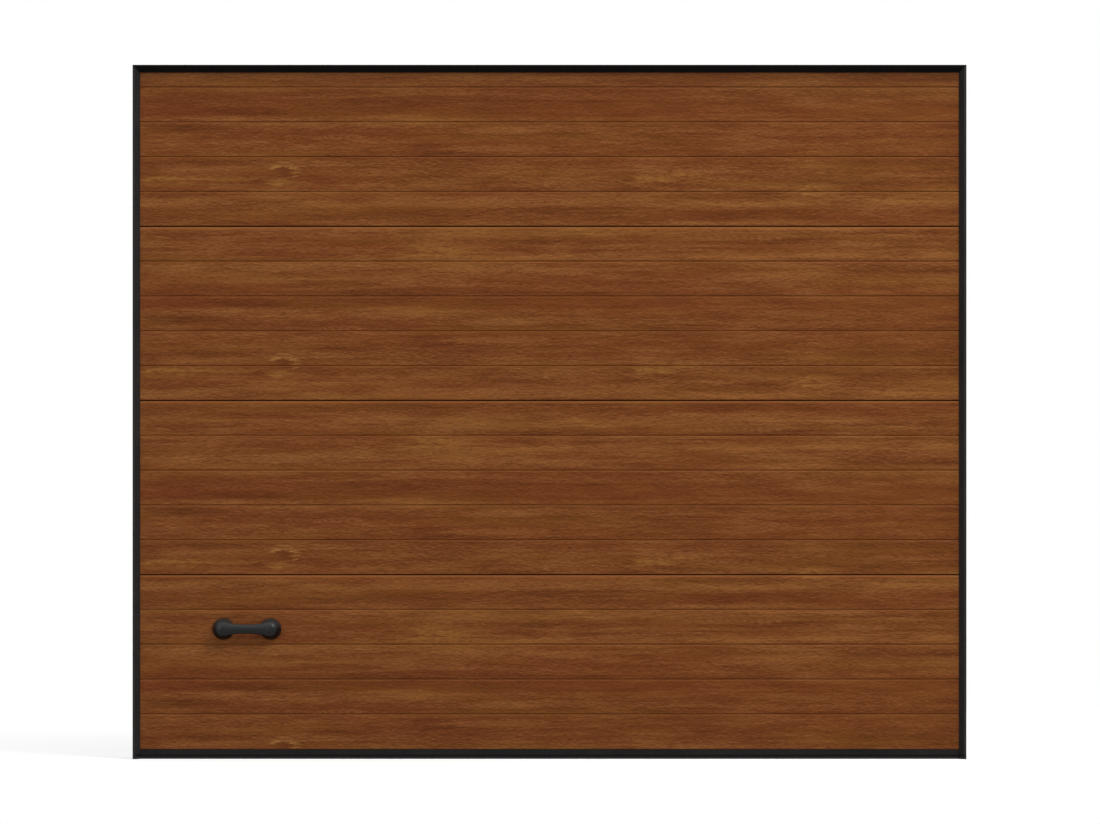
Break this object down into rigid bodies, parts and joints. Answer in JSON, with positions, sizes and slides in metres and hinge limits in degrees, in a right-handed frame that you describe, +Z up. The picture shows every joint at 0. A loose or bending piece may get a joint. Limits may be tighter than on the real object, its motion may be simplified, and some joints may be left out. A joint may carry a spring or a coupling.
{
  "type": "sectional garage door",
  "caption": "Closed sectional garage door with oak-effect ribbed sections, black frame and seals, a pull handle, and tracks, rollers, cables and springs behind.",
  "frame": {"origin": "foot of the left post on its outer face, at the front plane of the frame and floor level", "axes": "+X across the door to the right as seen from outside, +Y into the garage, +Z up"},
  "size_m": [2.39, 2.5768, 2.3],
  "materials": {
    "oak_film": "satin",
    "black_frame": "satin",
    "black_rubber": "matt",
    "handle_plastic": "satin",
    "zinc_steel": "satin",
    "nylon": "satin",
    "rail_aluminium": "satin",
    "spring_steel": "satin",
    "cable_steel": "satin",
    "cast_alloy": "rough"
  },
  "bodies": {
    "root": {"post_left": "black_frame", "post_right": "black_frame", "header": "black_frame", "side_seal_left": "black_rubber", "side_seal_right": "black_rubber", "top_seal": "black_rubber", "bottom_seal": "black_rubber", "section_1": "oak_film", "section_2": "oak_film", "section_3": "oak_film", "section_4": "oak_film", "bottom_rail": "black_frame", "top_rail": "rail_aluminium", "handle": "handle_plastic", "end_caps": "zinc_steel", "handle_bolts": "zinc_steel", "hinges_joint_1": "zinc_steel", "hinges_joint_2": "zinc_steel", "hinges_joint_3": "zinc_steel", "roller_brackets_left": "zinc_steel", "roller_brackets_right": "zinc_steel", "roller_shafts": "zinc_steel", "vertical_track_left": "zinc_steel", "vertical_track_right": "zinc_steel", "track_bend_left": "zinc_steel", "track_bend_right": "zinc_steel", "horizontal_track_left": "zinc_steel", "horizontal_track_right": "zinc_steel", "track_plates": "zinc_steel", "bearing_plates": "zinc_steel", "rear_hangers": "zinc_steel", "rear_cross_bar": "zinc_steel", "centre_bearing": "zinc_steel", "torsion_shaft": "zinc_steel", "rollers": "nylon", "cable_pulleys": "nylon", "lift_cable_left": "cable_steel", "lift_cable_right": "cable_steel", "torsion_spring_left": "spring_steel", "torsion_spring_right": "spring_steel", "spring_cones": "cast_alloy", "cable_drums": "cast_alloy"}
  },
  "joints": []
}
